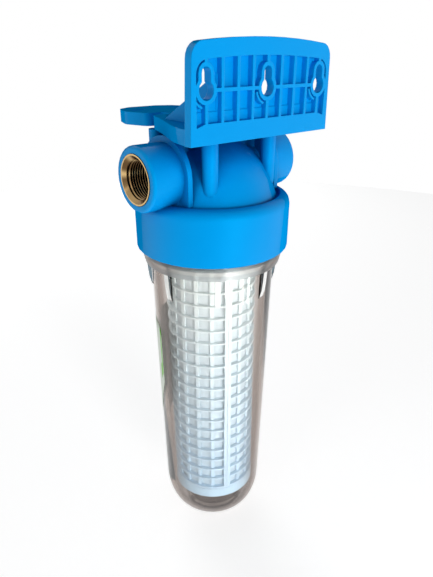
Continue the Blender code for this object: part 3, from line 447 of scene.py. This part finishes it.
def painted_reflection_streaks(tree):
    """Painted reflections: streaks that run inwards over a turned bore, brightest away from the wall, and a
    painted highlight full on a flat face.
    """
    _, y, z = axes(tree)
    angle = join(tree, "ARCTAN2", join(tree, "SUBTRACT", z, up(PORT_H)), y)

    def streak(place, narrow, strength):
        reach = join(tree, "MAXIMUM", join(tree, "COSINE", join(tree, "SUBTRACT", angle, place)), 0.0)
        return join(tree, "MULTIPLY", join(tree, "POWER", reach, narrow), strength)

    bright = streak(*PAINTED_REFLECTIONS[0])
    for entry in PAINTED_REFLECTIONS[1:]:
        bright = join(tree, "MAXIMUM", bright, streak(*entry))
    across = tree.nodes.new("ShaderNodeSeparateXYZ")
    tree.links.new(surface_normal(tree), across.inputs["Vector"])
    flat = remap(tree, join(tree, "ABSOLUTE", across.outputs["X"]), *FLAT_FACE)
    return join(tree, "MAXIMUM", bright, flat)


def brass(name):
    made, tree, shader = new_material(name)
    shader.inputs["Metallic"].default_value = 1.0
    tone = blend(tree, noise(tree, scale=160.0, detail=4.0), *BRASSES)
    # Painted reflections: bright streaks and flat faces over a painted dark reflection
    part = join(tree, "ADD", join(tree, "MULTIPLY", painted_reflection_streaks(tree), REFLECTION_PART), REFLECTION_BASE)
    reflection_painted = blend(tree, part, BRASS_PAINTED_DARK_REFLECTION, tone)
    # Painted shade deep in the bore
    colour = painted_hollow_shade(tree, reflection_painted, BRASS_PAINTED_BORE_SHADE, reach=0.012, closed=0.4, free=0.85)
    tree.links.new(colour, shader.inputs["Base Color"])
    rough = spread(tree, noise(tree, scale=700.0, detail=3.0), low=0.1, high=0.22)
    tree.links.new(rough, shader.inputs["Roughness"])
    turning = noise(tree, scale=900.0, detail=2.0, stretch=(6.0, 1.0, 1.0))
    tree.links.new(bump(tree, turning, strength=0.12, distance=0.0001), shader.inputs["Normal"])
    return made


def plated_steel(name):
    made, tree, shader = new_material(name)
    shader.inputs["Metallic"].default_value = 1.0
    tree.links.new(blend(tree, noise(tree, scale=300.0, detail=4.0), *STEELS), shader.inputs["Base Color"])
    rough = spread(tree, noise(tree, scale=800.0, detail=3.0), low=0.22, high=0.4)
    tree.links.new(rough, shader.inputs["Roughness"])
    return made


def rubber(name):
    made, tree, shader = new_material(name)
    tree.links.new(blend(tree, noise(tree, scale=200.0, detail=4.0), *RUBBERS), shader.inputs["Base Color"])
    rough = spread(tree, noise(tree, scale=500.0, detail=3.0), low=0.5, high=0.75)
    tree.links.new(rough, shader.inputs["Roughness"])
    return made


def woven_mesh(name, pitch, radius):
    """Fine square weave wrapped round the Z axis, with painted shade that makes it darker and a little bluer
    towards its lower end.
    """
    made, tree, shader = new_material(name)
    x, y, z = axes(tree)
    # Each half wave is one thread
    waves = round(2.0 * math.pi * radius / pitch) / 2.0
    angle = join(tree, "ARCTAN2", y, x)
    weft = join(tree, "ABSOLUTE", join(tree, "SINE", join(tree, "MULTIPLY", angle, waves)))
    warp = join(tree, "ABSOLUTE", join(tree, "SINE", join(tree, "MULTIPLY", z, math.pi / pitch)))
    threads = join(tree, "MAXIMUM", weft, warp)
    # Painted shade: holes and threads darker and bluer towards the foot
    height = along_cage(tree)
    hole = blend(tree, height, *MESH_HOLES_SHADE_GRADED)
    thread = blend(tree, height, *MESH_THREADS_SHADE_GRADED)
    colour = blend(tree, join(tree, "POWER", threads, MESH_NARROWNESS), hole, thread)
    tree.links.new(colour, shader.inputs["Base Color"])
    rough = spread(tree, noise(tree, scale=300.0, detail=3.0), low=0.6, high=0.8)
    tree.links.new(rough, shader.inputs["Roughness"])
    tree.links.new(bump(tree, threads, strength=0.4, distance=0.0002), shader.inputs["Normal"])
    return made


def label_paper(name):
    """Plain off-white label with a green line near its ends, thicker near the lower corners."""
    made, tree, shader = new_material(name)
    across, rise, _ = axes(tree, "UV")
    end = join(tree, "ABSOLUTE", join(tree, "SUBTRACT", join(tree, "MULTIPLY", across, 2.0), 1.0))
    inside = remap(tree, end, GREEN_LINE_TO, GREEN_LINE_TO - GREEN_SOFT_ACROSS)
    above = remap(tree, rise, GREEN_LOW, GREEN_LOW + GREEN_SOFT_UP)
    under = remap(tree, rise, GREEN_CORNER_TOP, GREEN_CORNER_TOP - GREEN_SOFT_UP)
    line_end = remap(tree, end, GREEN_LINE_FROM, GREEN_LINE_FROM + GREEN_SOFT_ACROSS)
    line = join(tree, "MULTIPLY", line_end, above)
    corner_end = remap(tree, end, GREEN_CORNER_FROM, GREEN_CORNER_FROM + GREEN_SOFT_ACROSS)
    corner = join(tree, "MULTIPLY", corner_end, join(tree, "MULTIPLY", above, under))
    green = join(tree, "MULTIPLY", join(tree, "MAXIMUM", line, corner), inside)
    tree.links.new(blend(tree, green, LABEL_PAPER, LABEL_GREEN), shader.inputs["Base Color"])
    rough = spread(tree, noise(tree, scale=400.0, detail=3.0), low=0.3, high=0.45)
    tree.links.new(rough, shader.inputs["Roughness"])
    return made


blue_head = moulded_plastic("head_blue", HEAD_BLUES, rough=(0.36, 0.5), grain=0.35, edge=0.0008,
                            sheen=BLUE_SHEEN, gloss=0.45, hollow_shade_colour=HEAD_PAINTED_SHADE_BLUE)
blue_bracket = moulded_plastic("bracket_blue", BRACKET_BLUES, rough=(0.34, 0.46), grain=0.15, edge=0.0005,
                               sheen=BLUE_SHEEN, gloss=0.3)
white_cage = shade_graded_plastic("cage_white", CAGE_SHADE_GRADED_WHITES, rough=(0.35, 0.48))
white_cap = moulded_plastic("cap_white", CAP_WHITES, rough=(0.35, 0.5), grain=0.1, edge=0.0004,
                            sheen=PURE_WHITE, gloss=0.5)
clear_bowl = clear_plastic("bowl_clear")
port_brass = brass("port_brass")
steel = plated_steel("screw_steel")
seal_rubber = rubber("seal_rubber")
fine_mesh = woven_mesh("fine_mesh", MESH_PITCH, MESH_R)

LOOKS = {
    "head": blue_head,
    "bracket": blue_bracket,
    "inlet_insert": port_brass,
    "outlet_insert": port_brass,
    "bracket_screw_left": steel,
    "bracket_screw_right": steel,
    "bracket_washer_left": steel,
    "bracket_washer_right": steel,
    "bowl": clear_bowl,
    "bowl_seal": seal_rubber,
    "cage_front": white_cage,
    "cage_back": white_cage,
    "mesh_sleeve": fine_mesh,
    "bottom_cap": white_cap,
    "top_cap": white_cap,
    "bottom_gasket": seal_rubber,
    "top_gasket": seal_rubber,
}


def dress(node, look):
    """Give a frame node its finish and smooth shading that breaks at its edges."""
    node.data.materials.clear()
    node.data.materials.append(look)
    node.data.polygons.foreach_set("use_smooth", [True] * len(node.data.polygons))
    weld = node.modifiers.new("weld", "WELD")
    weld.merge_threshold = WELD_REACH
    split = node.modifiers.new("edges", "EDGE_SPLIT")
    split.split_angle = SOLID_SHARP
    normals = node.modifiers.new("normals", "WEIGHTED_NORMAL")
    normals.keep_sharp = True


for name, look in LOOKS.items():
    dress(nodes[name], look)
# Light reaches the cartridge through the clear wall
nodes["bowl"].visible_shadow = False


# Pieces


def new_piece(name, shape, look, body):
    """Turn a shape into a piece with a finish, which rides on a body."""
    bmesh.ops.recalc_face_normals(shape, faces=shape.faces)
    mesh = bpy.data.meshes.new(name)
    shape.to_mesh(mesh)
    shape.free()
    mesh.shade_smooth()
    mesh.set_sharp_from_angle(angle=PIECE_SHARP)
    mesh.materials.append(look)
    piece = bpy.data.objects.new(name, mesh)
    bpy.context.collection.objects.link(piece)
    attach(piece, body)
    return piece


def around(shape, radius, angle, height):
    """A vertex on a circle round the Z axis."""
    return shape.verts.new((radius * math.cos(angle), radius * math.sin(angle), up(height)))


def skin(shape, rows, closed=False):
    """Join rows of vertices, each row a closed outline; the ends are joined or capped."""
    following = rows[1:] + rows[:1] if closed else rows[1:]
    for near, far in zip(rows, following):
        for index in range(len(near)):
            after = (index + 1) % len(near)
            shape.faces.new([near[index], near[after], far[after], far[index]])
    if not closed:
        shape.faces.new(rows[0])
        shape.faces.new(list(reversed(rows[-1])))


def sector(shape, profile, start, end, steps):
    """Sweep a closed (radius, height) profile round the Z axis from one angle to another."""
    angles = [start + (end - start) * step / steps for step in range(steps + 1)]
    skin(shape, [[around(shape, radius, angle, height) for radius, height in profile] for angle in angles])


def fin_profile(height):
    half = FIN_THICK / 2.0
    shoulder_r = CAGE_R - FIN_EDGE_DEPTH
    edge_r = CAGE_R - FIN_EDGE_ROUND
    edge = half * FIN_EDGE_SHARE
    return [(CAGE_BACK_R, height - half), (shoulder_r, height - half), (edge_r, height - edge),
            (CAGE_R, height), (edge_r, height + edge), (shoulder_r, height + half),
            (CAGE_BACK_R, height + half)]


def upright_profile(outer_r, low, high):
    return [(CAGE_BACK_R, low), (outer_r, low), (outer_r, high), (CAGE_BACK_R, high)]


def make_cage_half(name, turn, replaced):
    """Half of the cage: thin fins stand proud of the bars, and a tall rib runs beside each parting edge."""
    shape = bmesh.new()
    gap = SEAM_GAP / 2.0 / CAGE_R
    first = turn + gap
    last = turn + math.pi - gap
    fins = [FIRST_FIN_H - FIN_PITCH * index for index in range(FIN_COUNT)]
    for height in fins:
        sector(shape, fin_profile(height), first, last, HALF_STEPS)
    # Plain band at the top and ring at the foot
    sector(shape, upright_profile(CAGE_R, FIRST_FIN_H, CAGE_TOP_H), first, last, HALF_STEPS)
    sector(shape, upright_profile(CAGE_R, CAGE_FOOT_H, fins[-1] + FOOT_RING_LAP), first, last, HALF_STEPS)
    rib = SEAM_RIB_WIDTH / CAGE_R
    for start in (first, last - rib):
        sector(shape, upright_profile(CAGE_R, fins[-1], FIRST_FIN_H), start, start + rib, BAR_STEPS)
    half_bar = BAR_WIDTH / BAR_R / 2.0
    for index in range(BARS_PER_HALF):
        middle = turn + math.pi * (index + 1) / (BARS_PER_HALF + 1)
        bar = upright_profile(BAR_R, fins[-1], FIRST_FIN_H)
        sector(shape, bar, middle - half_bar, middle + half_bar, BAR_STEPS)
    piece = new_piece(name, shape, white_cage, "bowl_assembly")
    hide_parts(replaced)


def make_flange():
    """The clear flange that flares from the collar towards the skirt; light passes it like the bowl."""
    shape = bmesh.new()
    angles = [2.0 * math.pi * step / FLANGE_STEPS for step in range(FLANGE_STEPS)]
    rows = [[around(shape, radius, angle, height) for radius, height in FLANGE_OUTLINE] for angle in angles]
    skin(shape, rows, closed=True)
    flange = new_piece("bowl_flange", shape, clear_bowl, "bowl_assembly")
    flange.visible_shadow = False


def make_port_thread(name, side):
    """Fine pipe thread inside a brass lining, faded out at both ends."""
    shape = bmesh.new()
    count = int((THREAD_TO_X - THREAD_FROM_X) / THREAD_PITCH * THREAD_STEPS)
    root_r = THREAD_ROOT_R + THREAD_BURY
    rows = []
    for step in range(count + 1):
        angle = 2.0 * math.pi * step / THREAD_STEPS
        x = THREAD_FROM_X + THREAD_PITCH * step / THREAD_STEPS
        fade = min(1.0, min(step, count - step) / THREAD_FADE_STEPS)
        crest_r = THREAD_ROOT_R + (THREAD_CREST_R - THREAD_ROOT_R) * fade
        profile = ((root_r, -THREAD_ROOT_HALF), (crest_r, -THREAD_CREST_HALF),
                   (crest_r, THREAD_CREST_HALF), (root_r, THREAD_ROOT_HALF))
        rows.append([shape.verts.new((side * (x + offset * THREAD_PITCH), radius * math.cos(angle),
                                      up(PORT_H) + side * radius * math.sin(angle)))
                     for radius, offset in profile])
    skin(shape, rows)
    new_piece(name, shape, port_brass, "head_assembly")


def label_edges(end):
    """Lower and upper edge of the label; towards the ends the lower rises and the upper is rounded off."""
    rise = max(0.0, (end - LABEL_RISE_FROM) / (1.0 - LABEL_RISE_FROM)) ** LABEL_RISE_POWER
    drop = max(0.0, (end - LABEL_ROUND_FROM) / (1.0 - LABEL_ROUND_FROM)) ** LABEL_ROUND_POWER
    return LABEL_LOW_H + LABEL_END_RISE * rise, LABEL_HIGH_H - LABEL_CORNER_DROP * drop


def make_label():
    """Thin label that follows the bowl's taper."""
    shape = bmesh.new()
    layer = shape.loops.layers.uv.new("UVMap")
    points = []
    for row in range(LABEL_ROWS + 1):
        line = []
        for column in range(LABEL_COLUMNS + 1):
            angle = LABEL_FROM + (LABEL_TO - LABEL_FROM) * column / LABEL_COLUMNS
            low, high = label_edges(abs(2.0 * column / LABEL_COLUMNS - 1.0))
            height = low + (high - low) * row / LABEL_ROWS
            line.append(around(shape, BOWL_TOP_R + BOWL_TAPER * height + LABEL_R_OFFSET, angle, height))
        points.append(line)
    for row in range(LABEL_ROWS):
        for column in range(LABEL_COLUMNS):
            corners = ((column, row), (column + 1, row), (column + 1, row + 1), (column, row + 1))
            face = shape.faces.new([points[v][u] for u, v in corners])
            for loop, (u, v) in zip(face.loops, corners):
                loop[layer].uv = (u / LABEL_COLUMNS, v / LABEL_ROWS)
    label = new_piece("label", shape, label_paper("label_paper"), "bowl_assembly")
    solid = label.modifiers.new("thickness", "SOLIDIFY")
    solid.thickness = LABEL_THICK
    solid.offset = 1.0


make_cage_half("cage_front_fine", CAGE_SEAM, "cage_front")
make_cage_half("cage_back_fine", CAGE_SEAM + math.pi, "cage_back")
make_flange()
make_port_thread("inlet_thread", -1.0)
make_port_thread("outlet_thread", 1.0)
make_label()


# Floor, light and camera


def make_floor():
    """A pale disc that keeps the shadow and glows just enough to stay near white."""
    shape = bmesh.new()
    bmesh.ops.create_circle(shape, cap_ends=True, segments=FLOOR_STEPS, radius=FLOOR_R)
    mesh = bpy.data.meshes.new("floor")
    shape.to_mesh(mesh)
    shape.free()
    made, tree, shader = new_material("floor_pale")
    feed(tree, FLOOR_GREY, shader.inputs["Base Color"])
    shader.inputs["Roughness"].default_value = 0.9
    shader.inputs["Specular IOR Level"].default_value = 0.0
    feed(tree, PURE_WHITE, shader.inputs["Emission Color"])
    shader.inputs["Emission Strength"].default_value = FLOOR_GLOW
    mesh.materials.append(made)
    floor = bpy.data.objects.new("floor", mesh)
    floor.location = (0.0, 0.0, -FLOOR_DROP)
    bpy.context.collection.objects.link(floor)


def make_lamp(name, place, size, power):
    data = bpy.data.lights.new(name, "AREA")
    data.shape = "RECTANGLE"
    data.size = size[0]
    data.size_y = size[1]
    data.energy = power
    lamp = bpy.data.objects.new(name, data)
    lamp.location = place
    aim = Vector(LAMP_AIM) - Vector(place)
    lamp.rotation_euler = aim.to_track_quat("-Z", "Y").to_euler()
    lamp.visible_camera = False
    bpy.context.collection.objects.link(lamp)


def make_world():
    """White where it is seen, also in gloss and through the bowl; a dimmer room lights the object."""
    world = bpy.data.worlds.new("studio")
    bpy.context.scene.world = world
    world.use_nodes = True
    tree = world.node_tree
    shade = tree.nodes.new("ShaderNodeValToRGB")
    low_stop, high_stop = shade.color_ramp.elements
    low_stop.position = 0.0
    low_stop.color = (*ROOM_LOW, 1.0)
    high_stop.position = ROOM_DIM_FROM
    high_stop.color = (*ROOM_HIGH, 1.0)
    tree.links.new(axes(tree, "Generated")[2], shade.inputs["Fac"])
    room = tree.nodes["Background"]
    tree.links.new(shade.outputs["Color"], room.inputs["Color"])
    white = tree.nodes.new("ShaderNodeBackground")
    feed(tree, PURE_WHITE, white.inputs["Color"])
    path = tree.nodes.new("ShaderNodeLightPath").outputs
    seen = join(tree, "MAXIMUM", path["Is Camera Ray"], path["Is Glossy Ray"])
    seen = join(tree, "MAXIMUM", seen, path["Is Transmission Ray"])
    either = tree.nodes.new("ShaderNodeMixShader")
    tree.links.new(seen, either.inputs["Fac"])
    tree.links.new(room.outputs["Background"], either.inputs[1])
    tree.links.new(white.outputs["Background"], either.inputs[2])
    tree.links.new(either.outputs["Shader"], tree.nodes["World Output"].inputs["Surface"])


def make_camera():
    data = bpy.data.cameras.new("camera")
    data.sensor_fit = "AUTO"
    data.sensor_width = 36.0
    data.lens = CAMERA_LENS
    data.clip_start = 0.01
    camera = bpy.data.objects.new("camera", data)
    azimuth = math.radians(CAMERA_AZIMUTH)
    elevation = math.radians(CAMERA_ELEVATION)
    roll = math.radians(CAMERA_ROLL)
    back = Vector((math.sin(azimuth) * math.cos(elevation), -math.cos(azimuth) * math.cos(elevation),
                   math.sin(elevation)))
    right = Vector((math.cos(azimuth), math.sin(azimuth), 0.0))
    above = back.cross(right)
    turned_right = right * math.cos(roll) + above * math.sin(roll)
    turned_up = above * math.cos(roll) - right * math.sin(roll)
    turn = Matrix((turned_right, turned_up, back)).transposed()
    camera.matrix_world = Matrix.Translation(CAMERA_PLACE) @ turn.to_4x4()
    bpy.context.collection.objects.link(camera)
    bpy.context.scene.camera = camera


make_floor()
for lamp_facts in LAMPS:
    make_lamp(*lamp_facts)
make_world()
make_camera()
bpy.context.scene.view_settings.view_transform = "Standard"
